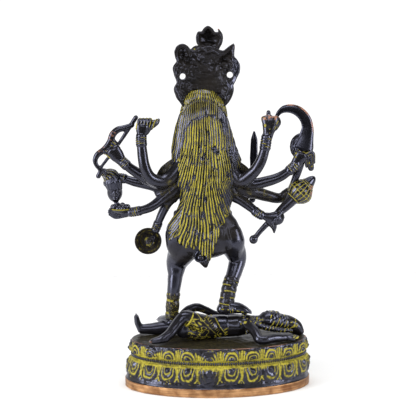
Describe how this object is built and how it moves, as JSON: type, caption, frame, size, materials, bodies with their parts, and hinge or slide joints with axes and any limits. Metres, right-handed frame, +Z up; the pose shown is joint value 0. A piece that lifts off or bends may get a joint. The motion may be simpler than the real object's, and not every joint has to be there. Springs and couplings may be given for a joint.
{
  "type": "kali figure",
  "caption": "Many-armed goddess standing on a reclining figure, cast in one piece with an oval lotus plinth, a display figure that stands by its own weight.",
  "frame": {"origin": "centre of the plinth's foot band, on the surface it stands on", "axes": "+Z up, -Y the way the goddess faces, +X her left"},
  "size_m": [0.1856, 0.0882, 0.2995],
  "materials": {
    "blackened_brass": "cast, blackened, ridges rubbed back to gold"
  },
  "bodies": {
    "root": {"kali_casting": "blackened_brass"}
  },
  "joints": []
}
